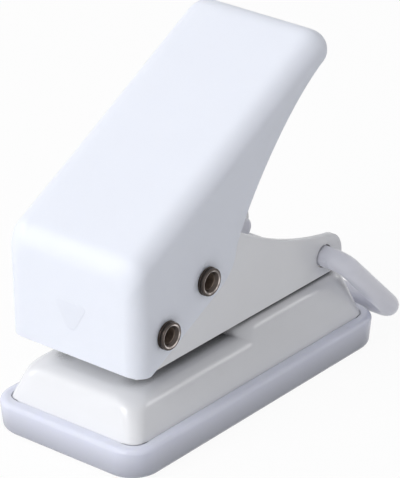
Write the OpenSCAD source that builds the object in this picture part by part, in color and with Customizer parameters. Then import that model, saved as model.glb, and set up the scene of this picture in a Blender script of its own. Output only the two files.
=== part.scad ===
// Desk single-hole punch: lever handle, sprung punch in a channel frame,
// stepped pressed base standing in a chip tray, carry loop at the tail.
// X is the width, -Y the front, Z up. The origin is the centre of the tray's foot.

/* [Base plate] */
// Length of the base at its rim
base_l = 65.2; // [56:0.5:80]
// Width of the base at its rim
base_w = 29.4; // [25:0.5:38]
// Sheet thickness of the pressed base
base_t = 1.1; // [0.8:0.1:1.6]
// Corner radius of the rim in plan
base_corner_r = 4.1; // [3.6:0.1:6.5]
// Height of the upright skirt that plugs into the tray
skirt_h = 2.1; // [1.5:0.1:3]
// Rise of the paper table above the skirt
table_rise = 7.2; // [5:0.1:10]
// How far the sloping sides lean in up to the table
table_lean = 2.4; // [1.8:0.1:3.4]
// Shoulder radius round the paper table
table_shoulder_r = 3.8; // [2.4:0.1:4.4]
// How far the sloping sides lean in up to the raised rear deck
deck_lean = 3.1; // [2.4:0.1:4]
// How far the rear end leans in up to the deck
deck_rear_lean = 2.2; // [1.5:0.1:4]
// Shoulder radius round the rear deck
deck_shoulder_r = 3.2; // [2:0.1:3.8]
// Plan radius of the deck's front corners
deck_front_r = 4.2; // [2.5:0.1:5]
// Height of the paper slot
slot_h = 2.2; // [1.6:0.1:3.4]
// Distance from the base's front rim to the punch axis
punch_in = 19.85; // [19:0.05:23]
// Depth of the paper slot from the punch axis to the step
throat = 12.15; // [11:0.05:16]

/* [Chip tray] */
// Thickness of the tray's floor
tray_floor_t = 1.2; // [0.8:0.1:2]
// Height of the inner ledge that the base sits on
tray_ledge_h = 3.7; // [2.4:0.1:5]
// Width of the inner ledge
tray_ledge_w = 1.4; // [1:0.1:2]
// Width of the rim along the sides
tray_lip_side = 2.2; // [1.8:0.1:3.5]
// Width of the rim at the ends
tray_lip_end = 2.3; // [1.8:0.1:4]
// Height of the rim above the skirt's top
tray_lip_over = 0.2; // [0:0.1:0.6]
// Draft of the outer wall, per side
tray_draft = 0.4; // [0.2:0.1:0.9]
// Radius round the foot
tray_foot_r = 1.2; // [0.8:0.1:2]
// Radius on the rim's outer edge
tray_rim_r = 1.2; // [0.6:0.1:1.5]

/* [Frame] */
// Outer width of the channel
frame_w = 22.4; // [20:0.2:26]
// Sheet thickness of the channel
frame_t = 1; // [0.8:0.1:1.6]
// Height of the side walls' lower edges above the foot plate's underside
frame_stand = 0.4; // [0.2:0.1:0.6]
// Lap of the foot plate into the side walls
foot_lap = 0.3; // [0.2:0.1:0.6]
// Web length in front of the punch axis
frame_nose = 14.35; // [13:0.05:16]
// Height of the wall's crown above the web's underside
frame_crown_h = 20.6; // [18:0.1:21.4]
// Distance from the punch axis back to where the wall's crown turns down
crown_back = 9.5; // [8.5:0.1:11]
// Distance from the punch axis forward to where the wall's crown turns down
crown_fore = 8.6; // [7.6:0.1:9.6]
// Depth of the rounding at the crown's front
crown_brow = 4.6; // [3.6:0.1:5.6]
// Distance from the base's rear rim forward to the loop holes
tail_in = 8.3; // [7.4:0.05:9.2]
// Height of the loop holes above the web's underside
tail_h = 4.2; // [3.6:0.1:5]
// Radius of the rounded tail round the loop holes
tail_r = 4.5; // [4:0.1:5.6]
// How far the tail's rounding sits below the loop holes
tail_sink = 0.6; // [0:0.1:1]
// Distance from the loop holes to the tail's end
tail_end = 5.3; // [4.8:0.1:7]
// Dip of the wall's swept top edge below a straight line
sweep_dip = 1; // [0:0.1:2.5]

/* [Pins] */
// Outer diameter of both tubular pins
pin_d = 4; // [3.4:0.1:4.6]
// Bore of both tubular pins
pin_bore = 2.8; // [2:0.1:3]
// Diameter of the pins' flared mouths
pin_mouth_d = 3.7; // [3.2:0.1:4]
// Depth of the flare in the pins' mouths
pin_flare = 0.8; // [0.5:0.1:1.2]
// Diameter of the rolled pin ends
pin_rim_d = 5; // [4.8:0.1:6]
// Thickness of the rolled pin ends
pin_rim_t = 0.7; // [0.5:0.05:1.2]
// Diameter of the collars under the rolled ends
collar_d = 5.1; // [4.8:0.1:7]
// Thickness of the collars
collar_t = 0.4; // [0.3:0.05:1]
// Height of the pivot pin above the web's underside
pivot_h = 9; // [8.6:0.1:10]
// Distance from the pivot pin to the drive pin
link_l = 12.26; // [11:0.1:13.5]
// Angle of the line from pivot to drive pin at rest
link_deg = 29.3; // [26:0.1:32]
// Turn of the handle over its full stroke
press_deg = 25; // [20:0.5:26]

/* [Punch] */
// Diameter of the punched hole
punch_d = 6; // [5:0.1:7]
// Diameter of the punch's head
head_d = 9.2; // [8.4:0.1:11]
// Thickness of the punch's head
head_t = 1.6; // [1:0.1:2.4]
// Depth of the hollow ground into the cutting end
tip_hollow = 0.8; // [0:0.1:1.2]
// How far the cutting end is drawn back into its guide
tip_back = 0.6; // [0.2:0.1:1]
// Wall of the guide bush
guide_wall = 1.3; // [0.9:0.1:1.6]
// Thickness of the guide bush's flange
guide_flange_t = 0.8; // [0.6:0.1:1.2]
// Width of the guide bush's flange round its body
guide_flange_w = 1.1; // [0.8:0.1:1.6]
// Wall of the die ring
die_wall = 1.6; // [1:0.1:2.4]
// Thickness of the die ring's flange under the table
die_flange_t = 0.8; // [0.6:0.1:1.4]
// Width of the die ring's flange
die_flange_w = 1.1; // [0.8:0.1:1.6]

/* [Return spring] */
// Wire diameter
wire_d = 0.7; // [0.6:0.05:0.9]
// Number of coils
coils = 5; // [4:1:5]

/* [Rivets] */
// Shank diameter of the frame rivets
rivet_d = 3; // [2.5:0.1:3.5]
// Head diameter of the frame rivets
rivet_head_d = 5.2; // [4.6:0.1:6.5]
// Head height of the frame rivets
rivet_head_h = 1.2; // [0.8:0.1:1.6]
// Thickness of the clenched tail under the base
rivet_tail_t = 0.8; // [0.5:0.1:1.2]
// Distance from the step to the front rivet
rivet_front = 8; // [7:0.5:10]
// Distance from the loop holes to the rear rivet
rivet_rear = 5.9; // [5:0.1:7]

/* [Handle] */
// Wall thickness of the handle shell
handle_t = 2; // [1.6:0.1:2.4]
// Gap between the frame's side and the handle's inner wall
handle_side_gap = 1.5; // [1:0.1:2.2]
// Height of the handle's top above the pivot pin
handle_top_h = 18.45; // [17.5:0.05:20]
// Slope of the handle's top
handle_slope = 28.4; // [25:0.1:31]
// Distance from the pivot pin to the handle's front face
handle_front = 7.6; // [7.2:0.1:9]
// Distance from the pivot pin to the handle's rear end
handle_reach = 45.9; // [44:0.1:52]
// Depth of the handle's front edge below the pivot pin
handle_front_drop = 6.1; // [5.2:0.1:6.6]
// Extra depth of the lower front corners
handle_corner_drop = 0.35; // [0:0.05:0.6]
// Forward lean of the front face, per mm of height
handle_lean = 0.03; // [0:0.005:0.1]
// Radius along the handle's top edges
handle_edge_r = 4; // [3:0.1:5]
// Plan radius of the front corners
handle_front_r = 3.2; // [2.6:0.1:5]
// Plan radius of the rear corners
handle_rear_r = 3.4; // [2.6:0.1:5]
// Radius between the front face and the top
handle_brow_r = 5; // [4:0.1:7]
// Radius of the rear end in the side view
handle_tip_r = 3.5; // [2.6:0.1:4.4]
// Height of the upright edge at the rear end
handle_tip_edge = 0.2; // [0.1:0.1:0.8]
// How far the side lobes reach behind the drive pin
lobe_back = 7.95; // [7:0.05:9]
// Height above the drive pin where the lobes turn up
lobe_rise = 2.2; // [1:0.1:3.5]
// Slope of the sides' lower edge in front of the lobes
handle_edge_slope = 26.5; // [22:0.5:30]
// Diameter of the inner bosses round the pins
boss_d = 7.6; // [6.6:0.1:7.8]

/* [Carry loop] */
// Diameter of the loop's round section
loop_d = 3.9; // [3:0.1:4.6]
// Distance from the tail holes to the loop's cross bar
loop_l = 21.8; // [19:0.1:26]
// Distance from the frame's side to the loop's legs
loop_out = 4.3; // [4:0.1:6]
// Bend radius where the legs turn into the tail holes
loop_ear_r = 2.8; // [2.4:0.1:3.2]
// Bend radius where the legs turn into the cross bar
loop_bow_r = 2.4; // [2.2:0.1:6]
// How far the loop's ends stand inside the frame's walls
loop_stub = 3.5; // [0.6:0.1:4]
// Droop of the loop below the level
loop_droop = 44.4; // [38:0.1:48]

/* [Clearances] */
// Press-on gap between the base's skirt and the tray's rim
fit_tray = 0.1; // [0.05:0.01:0.3]
// Running gap round the pivot pin in the handle
fit_pin = 0.05; // [0.02:0.01:0.1]
// Running gap round the punch in its guide
fit_punch = 0.05; // [0.02:0.01:0.1]
// Gap round the punch in the die ring
fit_die = 0.1; // [0.05:0.01:0.15]
// Gap round the drive pin in the frame's arc slots
fit_slot = 0.25; // [0.15:0.01:0.4]
// Gap between the drive pin and the punch's head
fit_head = 0.12; // [0.05:0.01:0.3]
// Gap between the handle's bosses and the frame's sides
fit_boss = 0.15; // [0.1:0.01:0.4]
// Gap between the pivot collars and the handle's sides
fit_collar = 0.05; // [0.02:0.01:0.2]
// Gap round the carry loop in the tail holes
fit_loop = 0.2; // [0.1:0.01:0.4]
// Gap between the spring's wire and the punch
fit_spring = 0.35; // [0.3:0.01:0.5]

/* [Hidden] */
$fn = 64;
// Overshoot of cutting tools
cut = 1;
// Lean of the step, as a share of the deck's lean at the sides
step_share = 0.4;
// Bevel round the punch's head
head_bevel = 0.4;
// How far a rivet's clenched tail is smaller than its head, across
rivet_tail_trim = 0.8;
// Heights
skirt_z = tray_ledge_h;
slope_z = skirt_z + skirt_h;
table_z = slope_z + table_rise;
frame_z = table_z + slot_h;
web_z = frame_z + frame_t;
foot_w = frame_w - 2 * frame_t + 2 * foot_lap;
rim_z = slope_z + tray_lip_over;
// Tray plan
tray_l = base_l + 2 * (fit_tray + tray_lip_end);
tray_w = base_w + 2 * (fit_tray + tray_lip_side);
tray_corner_r = base_corner_r + min(tray_lip_side, tray_lip_end) / 2;
// Pivot, drive pin and punch axis; the punch stands under the middle of the drive pin's sweep
pivot_z = frame_z + pivot_h;
drive_dy = link_l * cos(link_deg);
drive_dz = link_l * sin(link_deg);
low_dy = link_l * cos(link_deg - press_deg);
low_dz = link_l * sin(link_deg - press_deg);
sweep_y = (drive_dy + low_dy) / 2;
stroke = drive_dz - low_dz;
punch_y = -base_l / 2 + punch_in;
pivot_y = punch_y - sweep_y;
drive_y = pivot_y + drive_dy;
drive_z = pivot_z + drive_dz;
step_y = punch_y + throat;
// Punch
head_top_z = drive_z - pin_d / 2 - fit_head;
head_low_z = head_top_z - head_t;
tip_z = frame_z + tip_back;
guide_r = punch_d / 2 + fit_punch + guide_wall;
guide_top_z = web_z + guide_flange_t;
die_r = punch_d / 2 + fit_die + die_wall;
// Frame
frame_front_y = punch_y - frame_nose;
tail_y = base_l / 2 - tail_in;
tail_z = frame_z + tail_h;
nose_wall = 1.8;
nose_r = pin_d / 2 + nose_wall;
crown_z = frame_z + frame_crown_h;
slot_r = pin_d / 2 + fit_slot;
// Handle
handle_w = frame_w + 2 * (handle_side_gap + handle_t);
// Rivets
rivets_y = [step_y + rivet_front, tail_y - rivet_rear];
// Loop
loop_half = frame_w / 2 + loop_out;

echo(str("stroke ", stroke, " ratio ", stroke / (press_deg * PI / 180), " pivot ", pivot_y, ",", pivot_z,
    " drive ", drive_y, ",", drive_z, " punch_y ", punch_y, " tail ", tail_y, ",", tail_z));

// Shared shapes

// points of a quarter arc's fillet between a leaning side and a flat top, as [inset, z]
function shoulder(z0, z1, lean, r, n) =
    let (a = atan2(lean, z1 - z0), q = r * tan((90 - a) / 2),
        cx = lean - q * sin(a) + r * cos(a), cz = z1 - r)
    [for (i = [0:n]) let (t = a + (90 - a) * i / n) [cx - r * cos(t), cz + r * sin(t)]];

// ring of a rounded rectangle, front corners rf, rear corners rr, at height z
function ring(hx, y0, y1, rf, rr, z, n = 6) = concat(
    [for (i = [0:n]) [-hx + rf - rf * cos(90 * i / n), y0 + rf - rf * sin(90 * i / n), z]],
    [for (i = [0:n]) [hx - rf + rf * sin(90 * i / n), y0 + rf - rf * cos(90 * i / n), z]],
    [for (i = [0:n]) [hx - rr + rr * cos(90 * i / n), y1 - rr + rr * sin(90 * i / n), z]],
    [for (i = [0:n]) [-hx + rr - rr * sin(90 * i / n), y1 - rr + rr * cos(90 * i / n), z]]);

// skin through rings of equal count
module loft(rings) {
    n = len(rings[0]);
    m = len(rings);
    polyhedron([for (r = rings) each r], concat(
        [[for (i = [0:n - 1]) i]],
        [for (k = [0:m - 2], i = [0:n - 1]) let (j = (i + 1) % n) each
            [[k * n + i, (k + 1) * n + i, (k + 1) * n + j], [k * n + i, (k + 1) * n + j, k * n + j]]],
        [[for (i = [n - 1:-1:0]) (m - 1) * n + i]]), convexity = 6);
}

// rounded rectangle centred on the axis
module plate2d(hx, hy, r) {
    square([2 * hx, 2 * (hy - r)], center = true);
    square([2 * (hx - r), 2 * hy], center = true);
    for (x = [-1, 1], y = [-1, 1]) translate([x * (hx - r), y * (hy - r)]) circle(r);
}

// upright prism of a rounded rectangle
module plate(hx, hy, r, z0, z1) translate([0, 0, z0]) linear_extrude(z1 - z0) plate2d(hx, hy, r);

// outline in the side view (y, z), extruded across the width from x0 to x1
module across(x0, x1) translate([x0, 0, 0]) rotate([90, 0, 90]) linear_extrude(x1 - x0) children();

// round bar along X
module bar(d, y, z, x0, x1) translate([x0, y, z]) rotate([0, 90, 0]) cylinder(d = d, h = x1 - x0);

// Chip tray
module chip_tray() color("#D9D9EE") difference() {
    loft(concat(
        [for (i = [0:4]) let (a = 90 * i / 4)
            tray_ring(tray_draft + tray_foot_r * (1 - sin(a)), tray_foot_r * (1 - cos(a)))],
        [for (i = [0:4]) let (a = 90 * i / 4)
            tray_ring(tray_rim_r * (1 - cos(a)), rim_z - tray_rim_r * (1 - sin(a)))]));
    plate(base_w / 2 + fit_tray, base_l / 2 + fit_tray, base_corner_r + fit_tray, tray_ledge_h, rim_z + cut);
    plate(base_w / 2 - tray_ledge_w, base_l / 2 - tray_ledge_w, base_corner_r - tray_ledge_w,
        tray_floor_t, rim_z);
}
function tray_ring(inset, z) = ring(tray_w / 2 - inset, -tray_l / 2 + inset, tray_l / 2 - inset,
    tray_corner_r, tray_corner_r, z);

// Base plate
module base_plate() color("#F1F1F4") difference() {
    union() {
        table_block(0);
        deck_block(0);
    }
    table_block(base_t);
    deck_block(base_t);
    translate([0, punch_y, table_z - base_t - cut]) cylinder(r = die_r, h = base_t + 2 * cut);
    for (y = rivets_y) translate([0, y, frame_z - base_t - cut])
        cylinder(d = rivet_d, h = base_t + 2 * cut);
}
// paper table over the whole length; in is the wall taken off, and the skirt is open below
module table_block(in) loft(concat(
    [for (z = [skirt_z - (in > 0 ? cut : 0), slope_z]) base_ring(in, z)],
    [for (p = shoulder(slope_z, table_z, table_lean, table_shoulder_r, 4)) base_ring(in + p[0], p[1] - in)]));
function base_ring(inset, z) = ring(base_w / 2 - inset, -base_l / 2 + inset, base_l / 2 - inset,
    base_corner_r, base_corner_r, z);
// raised deck behind the step, under the frame
module deck_block(in) loft(concat(
    [deck_ring(in, in, slope_z)],
    [for (p = shoulder(slope_z, frame_z, deck_lean, deck_shoulder_r, 4))
        deck_ring(in + p[0], in + step_share * p[0], p[1] - in)]));
function deck_ring(inset, front, z) = ring(base_w / 2 - inset, step_y - step_share * deck_lean + front,
    base_l / 2 - inset * deck_rear_lean / deck_lean, deck_front_r, base_corner_r, z);

// Die ring
module die_ring() color("#A9ABAF") translate([0, punch_y, 0]) difference() {
    union() {
        translate([0, 0, table_z - base_t]) cylinder(r = die_r, h = base_t);
        translate([0, 0, table_z - base_t - die_flange_t])
            cylinder(r = die_r + die_flange_w, h = die_flange_t);
    }
    translate([0, 0, table_z - base_t - die_flange_t - cut])
        cylinder(d = punch_d + 2 * fit_die, h = base_t + die_flange_t + 2 * cut);
}

// Punch frame
// concave sweep from the crown's rear end down to the tail, as a quadratic curve
function bow(a, b, c, n) = [for (i = [0:n]) let (t = i / n)
    (1 - t) * (1 - t) * a + 2 * t * (1 - t) * b + t * t * c];
crown_rear = [punch_y + crown_back, crown_z - 0.13 * crown_brow];
crown_mid = [punch_y + 0.105 * crown_back, crown_z];
crown_front = [punch_y - crown_fore, crown_z - crown_brow];
tail_cy = tail_y + tail_end - tail_r;
tail_cz = tail_z - tail_sink;
tail_low = tail_h - tail_sink;
tail_top = [tail_cy + tail_r * cos(75), tail_cz + tail_r * sin(75)];
sweep_mid = (crown_rear + tail_top) / 2 - [0, 2 * sweep_dip + 1.6];
module frame_side() {
    polygon(concat(
        [[frame_front_y, frame_z], [tail_cy + sqrt(tail_r * tail_r - tail_low * tail_low), frame_z]],
        [for (i = [1:12]) let (a0 = -asin(tail_low / tail_r), a = a0 + (75 - a0) * i / 12)
            [tail_cy + tail_r * cos(a), tail_cz + tail_r * sin(a)]],
        [for (i = [11:-1:0]) bow(crown_rear, sweep_mid, tail_top, 12)[i]],
        bow(crown_rear, crown_rear + [-0.38 * crown_back, 0.3 * crown_brow], crown_mid, 5),
        bow(crown_mid, [punch_y - 0.58 * crown_fore, crown_z], crown_front, 6),
        [for (i = [0:8]) let (a = 128 + 62 * i / 8) [pivot_y + nose_r * cos(a), pivot_z + nose_r * sin(a)]]));
}
// channel section (x, z): foot plate between two upright walls whose lower edges stand clear of the deck
module channel_section() {
    for (x = [-frame_w / 2, frame_w / 2 - frame_t])
        translate([x, frame_stand]) square([frame_t, frame_crown_h + cut - frame_stand]);
    translate([-foot_w / 2, 0]) square([foot_w, frame_t]);
}
module punch_frame() color("#ECECF0") difference() {
    intersection() {
        translate([0, base_l, frame_z]) rotate([90, 0, 0]) linear_extrude(2 * base_l) channel_section();
        across(-frame_w / 2, frame_w / 2) frame_side();
    }
    bar(pin_d, pivot_y, pivot_z, -frame_w, frame_w);
    bar(loop_d + 2 * fit_loop, tail_y, tail_z, -frame_w, frame_w);
    across(-frame_w, frame_w) arc_slot();
    translate([0, punch_y, frame_z - cut]) cylinder(r = guide_r, h = frame_t + 2 * cut);
    for (y = rivets_y) translate([0, y, frame_z - cut])
        cylinder(d = rivet_d, h = frame_t + 2 * cut);
}
// arc slot of the drive pin about the pivot
module arc_slot() translate([pivot_y, pivot_z]) {
    intersection() {
        difference() {
            circle(link_l + slot_r);
            circle(link_l - slot_r);
        }
        polygon([[0, 0], 2 * link_l * [cos(link_deg - press_deg), sin(link_deg - press_deg)],
            2 * link_l * [cos(link_deg), sin(link_deg)]]);
    }
    for (a = [link_deg - press_deg, link_deg]) translate(link_l * [cos(a), sin(a)]) circle(slot_r);
}

// Rivets
module frame_rivets() color("#C9CACE") for (y = rivets_y) translate([0, y, 0]) {
    translate([0, 0, frame_z - base_t]) cylinder(d = rivet_d, h = base_t + frame_t);
    translate([0, 0, web_z]) rotate_extrude() intersection() {
        translate([0, rivet_head_h - dome_r]) circle(dome_r);
        square([rivet_head_d / 2, rivet_head_h]);
    }
    translate([0, 0, frame_z - base_t - rivet_tail_t])
        cylinder(d = rivet_head_d - rivet_tail_trim, h = rivet_tail_t);
}
dome_r = (rivet_head_d * rivet_head_d / 4 + rivet_head_h * rivet_head_h) / (2 * rivet_head_h);

// Punch guide
module punch_guide() color("#B4B6BA") translate([0, punch_y, frame_z]) difference() {
    union() {
        cylinder(r = guide_r, h = frame_t);
        translate([0, 0, frame_t]) cylinder(r = guide_r + guide_flange_w, h = guide_flange_t);
    }
    translate([0, 0, -cut]) cylinder(d = punch_d + 2 * fit_punch, h = frame_t + guide_flange_t + 2 * cut);
}

// Punch
module punch() color("#9DA0A5") translate([0, punch_y, 0]) difference() {
    rotate_extrude() polygon([[0, tip_z], [punch_d / 2, tip_z], [punch_d / 2, head_low_z],
        [head_d / 2, head_low_z], [head_d / 2, head_top_z - head_bevel],
        [head_d / 2 - head_bevel, head_top_z], [0, head_top_z]]);
    if (tip_hollow > 0) bar(2 * hollow_r, 0, tip_z + tip_hollow - hollow_r, -punch_d, punch_d);
}
hollow_r = (punch_d * punch_d / 4 + tip_hollow * tip_hollow) / (2 * max(tip_hollow, 0.01));

// Return spring
spring_r = punch_d / 2 + fit_spring + wire_d / 2;
spring_low = guide_top_z + wire_d / 2;
spring_high = head_low_z - wire_d / 2;
spring_pitch = (spring_high - spring_low) / coils;
spring_rings = 8 * coils;
function spring_at(k) = [spring_r * cos(45 * k), punch_y + spring_r * sin(45 * k),
    spring_low + (spring_high - spring_low) * k / spring_rings];
module return_spring() color("#C2C4C8") loft([for (k = [0:spring_rings]) let (c = spring_at(k))
    [for (i = [0:5]) c + wire_d / 2 * [cos(45 * k) * cos(60 * i), sin(45 * k) * cos(60 * i), sin(60 * i)]]]);
echo(str("spring least gap ", min([for (k = [0:spring_rings - 5], j = [k + 5:spring_rings])
    norm(spring_at(k) - spring_at(j))]) - wire_d));

// Pins and collars
pin_half = handle_w / 2 + fit_collar + collar_t;
pin_end = pin_half + pin_rim_t;
// tube with its two ends rolled outward, along X
module tube_pin(y, z) translate([0, y, z]) rotate([0, 90, 0]) rotate_extrude() difference() {
    union() {
        translate([0, -pin_half]) square([pin_d / 2, 2 * pin_half]);
        for (s = [-1, 1]) mirror([0, s < 0 ? 1 : 0]) translate([0, pin_half]) {
            square([pin_rim_d / 2 - pin_rim_t / 2, pin_rim_t]);
            translate([pin_rim_d / 2 - pin_rim_t / 2, pin_rim_t / 2]) circle(d = pin_rim_t);
        }
    }
    translate([0, -pin_end - cut]) square([pin_bore / 2, 2 * (pin_end + cut)]);
    for (s = [-1, 1]) polygon([[0, s * (pin_end - pin_flare)], [pin_bore / 2, s * (pin_end - pin_flare)],
        [pin_mouth_d / 2, s * pin_end], [pin_mouth_d / 2, s * (pin_end + cut)], [0, s * (pin_end + cut)]]);
}
module collars(y, z, gap) for (s = [-1, 1]) difference() {
    bar(collar_d, y, z, s * (handle_w / 2 + gap + (s < 0 ? collar_t : 0)),
        s * (handle_w / 2 + gap + (s > 0 ? collar_t : 0)));
    bar(pin_d, y, z, -handle_w, handle_w);
}
module pivot_pin() color("#B9BBC0") tube_pin(pivot_y, pivot_z);
module drive_pin() color("#B9BBC0") tube_pin(drive_y, drive_z);
module pivot_washers() color("#A6A8AD") collars(pivot_y, pivot_z, fit_collar);
module drive_washers() color("#A6A8AD") collars(drive_y, drive_z, fit_collar);

// Handle
// lower edge of the handle's sides from front to rear, about the pivot, as [y, z]
lobe_end = [drive_dy + lobe_back, drive_dz + lobe_rise];
// pulls of the lobe's and the rear edge's curves, as shares of the lobe's reach and of the rear edge's span
lobe_pull = [0.0755, 0.453];
lobe_lead = 0.68;
rear_pull = [0.027, 0.17];
tip_pull = [0.454, 0.156];
lobe_ctrl = lobe_end - lobe_back * lobe_pull;
lobe_start = lobe_ctrl - lobe_lead * lobe_back * [cos(handle_edge_slope), sin(handle_edge_slope)];
edge_run = lobe_start[0] + handle_front - handle_front_r;
rear_span = handle_reach - lobe_end[0];
function rear_at(t) = let (u = 1 - t) u * u * u * lobe_end
    + 3 * u * u * t * (lobe_end + rear_span * rear_pull)
    + 3 * u * t * t * ([handle_reach, tip_low] - rear_span * tip_pull)
    + t * t * t * [handle_reach, tip_low];
// the rear lower edge's height at distance y, by halving
function rear_low(y, a = 0, b = 1, n = 24) = let (m = (a + b) / 2)
    n == 0 ? rear_at(m)[1] : rear_at(m)[0] < y ? rear_low(y, m, b, n - 1) : rear_low(y, a, m, n - 1);
// top edge height above the pivot at distance y, with the brow and the tip rounded, inset by w
function top_line(y, w) = handle_top_h - w / cos(handle_slope) + y * tan(handle_slope);
function top_at(y, w) =
    let (y0 = -handle_front + w, y1 = handle_reach - w, rb = handle_brow_r - w, rt = handle_tip_r - w,
        cb = y0 + rb, ct = y1 - rt,
        zb = top_line(cb, w) - rb / cos(handle_slope), zt = top_line(ct, w) - rt / cos(handle_slope))
    y < cb - rb * sin(handle_slope) ? zb + sqrt(max(0, rb * rb - (y - cb) * (y - cb)))
    : y > ct - rt * sin(handle_slope) ? zt + sqrt(max(0, rt * rt - (y - ct) * (y - ct)))
    : top_line(y, w);
// half width at distance y with the plan corners rounded, inset by w
function half_at(y, w) =
    let (h = handle_w / 2 - w, rf = handle_front_r - w, rr = handle_rear_r - w,
        f = y + handle_front - w, b = handle_reach - w - y)
    f < rf ? h - rf + sqrt(max(0, rf * rf - (rf - f) * (rf - f)))
    : b < rr ? h - rr + sqrt(max(0, rr * rr - (rr - b) * (rr - b))) : h;
// lower edge and stations of the skin inset by w
function low_edge(w) =
    let (y0 = -handle_front + w, y1 = handle_reach - w, r = handle_front_r)
    concat([for (f = [0, 0.06, 0.2, 0.42, 0.7, 1])
            [y0 + (r - w) * f, -handle_front_drop - handle_corner_drop * f]],
        [for (f = [0.727, 0.364]) lobe_start - f * edge_run * [1, tan(handle_edge_slope)]],
        bow(lobe_start, lobe_ctrl, lobe_end, 6),
        [for (i = [1:12]) let (p = rear_at(i / 14)) if (p[0] < y1 - handle_tip_r + w - 0.3) p],
        [for (f = [1, 0.75, 0.5, 0.28, 0.12, 0.03, 0]) let (y = y1 - (handle_tip_r - w) * f)
            [y, rear_low(y)]]);
tip_low = top_at(handle_reach, 0) - handle_tip_edge;
// the front face's lean fades out over this run and ends this far behind the pivot
lean_end = 9;
lean_run = 15.5;
// section of the skin at a station: lower corners and two rounded top edges
function section(y, low, w) =
    let (h = half_at(y, w), t = top_at(y, w), r = min(handle_edge_r - w, h - 0.5, t - low - 0.1), n = 5)
    [for (p = concat([[-h, low]],
        [for (i = [0:n]) [-h + r - r * cos(90 * i / n), t - r + r * sin(90 * i / n)]],
        [for (i = [0:n]) [h - r + r * sin(90 * i / n), t - r + r * cos(90 * i / n)]],
        [[h, low]]))
        [p[0], pivot_y + y - handle_lean * p[1] * min(1, max(0, (lean_end - y) / lean_run)), pivot_z + p[1]]];
module handle_skin(w, drop) loft([for (p = low_edge(w)) section(p[0], p[1] - drop, w)]);
module handle_shell() color("#F4F5FA") difference() {
    union() {
        difference() {
            handle_skin(0, 0);
            handle_skin(handle_t, 2 * cut);
        }
        for (s = [-1, 1], p = [[pivot_y, pivot_z], [drive_y, drive_z]])
            bar(boss_d, p[0], p[1], s < 0 ? -boss_out : boss_in, s < 0 ? -boss_in : boss_out);
    }
    bar(pin_d + 2 * fit_pin, pivot_y, pivot_z, -handle_w, handle_w);
    bar(pin_d, drive_y, drive_z, -handle_w, handle_w);
}
boss_in = frame_w / 2 + fit_boss;
boss_out = handle_w / 2 - handle_t / 2;

// Carry loop
module carry_loop() color("#F2F2F4") translate([0, tail_y, tail_z]) rotate([-loop_droop, 0, 0])
    for (s = [0, 1]) mirror([s, 0, 0]) loop_half_rod();
// the loop's half from its stub in the tail hole to the middle of the cross bar
module loop_half_rod() {
    bar(loop_d, 0, 0, frame_w / 2 - frame_t - loop_stub, loop_half - loop_ear_r);
    translate([loop_half - loop_ear_r, loop_ear_r, 0]) rotate([0, 0, -90]) bend(loop_ear_r);
    translate([loop_half, loop_ear_r, 0]) rotate([-90, 0, 0])
        cylinder(d = loop_d, h = loop_l - loop_ear_r - loop_bow_r);
    translate([loop_half - loop_bow_r, loop_l - loop_bow_r, 0]) bend(loop_bow_r);
    bar(loop_d, loop_l, 0, 0, loop_half - loop_bow_r);
}
// quarter bend of the loop's section
module bend(r) rotate_extrude(angle = 90) translate([r, 0]) circle(d = loop_d);

chip_tray();
base_plate();
die_ring();
punch_frame();
frame_rivets();
punch_guide();
punch();
return_spring();
pivot_pin();
drive_pin();
pivot_washers();
drive_washers();
handle_shell();
carry_loop();
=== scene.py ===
from math import atan2, cos, pi, radians, sin, sqrt, tan

import bmesh
import bpy
from bpy.props import FloatProperty, FloatVectorProperty, IntProperty, PointerProperty
from bpy.types import Node, NodeSocket, Operator, Panel, PropertyGroup, Scene
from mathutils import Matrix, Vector


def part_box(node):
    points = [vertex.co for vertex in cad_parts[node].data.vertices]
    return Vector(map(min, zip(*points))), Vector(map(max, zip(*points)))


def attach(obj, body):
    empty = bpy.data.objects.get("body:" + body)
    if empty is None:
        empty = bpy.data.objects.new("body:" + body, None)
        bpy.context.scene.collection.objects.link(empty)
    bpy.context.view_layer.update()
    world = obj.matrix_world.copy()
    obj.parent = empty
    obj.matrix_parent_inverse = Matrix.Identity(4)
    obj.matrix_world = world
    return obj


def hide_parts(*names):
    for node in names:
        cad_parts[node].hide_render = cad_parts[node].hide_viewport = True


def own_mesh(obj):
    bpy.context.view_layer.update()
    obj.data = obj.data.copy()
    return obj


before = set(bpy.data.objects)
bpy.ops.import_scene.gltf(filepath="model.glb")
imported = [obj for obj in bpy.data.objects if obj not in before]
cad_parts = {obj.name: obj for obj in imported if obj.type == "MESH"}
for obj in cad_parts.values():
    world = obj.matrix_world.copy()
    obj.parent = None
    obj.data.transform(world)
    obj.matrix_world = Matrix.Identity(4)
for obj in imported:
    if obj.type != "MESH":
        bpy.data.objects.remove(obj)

bl_info = {
    "name": "Desk single-hole punch",
    "version": (1, 0, 0),
    "blender": (4, 5, 0),
    "location": "3D View > Sidebar > Punch",
    "description": "Dresses the packed frame of a lever-handled desk punch: moulded handle, "
                   "enamelled base and frame, milky chip tray",
    "category": "Object",
}


# Units and colours

def mm(value):
    """Millimetres to metres."""
    return value * 0.001


def per(size):
    """Texture scale that gives one cell of a pattern this many millimetres."""
    return 1.0 / mm(size)


def linear(code):
    """sRGB hex to linear RGBA."""
    parts = [int(code[i:i + 2], 16) / 255 for i in (1, 3, 5)]
    return tuple(p / 12.92 if p <= 0.04045 else ((p + 0.055) / 1.055) ** 2.4 for p in parts) + (1.0,)


def length(name, description, value):
    """A length property whose default is given in millimetres."""
    return FloatProperty(name=name, description=description, default=mm(value), unit="LENGTH", precision=5)


def turn(name, description, value):
    """An angle property whose default is given in degrees."""
    return FloatProperty(name=name, description=description, default=radians(value), unit="ROTATION")


def number(name, description, value):
    """A property that is a plain number."""
    return FloatProperty(name=name, description=description, default=value)


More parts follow.
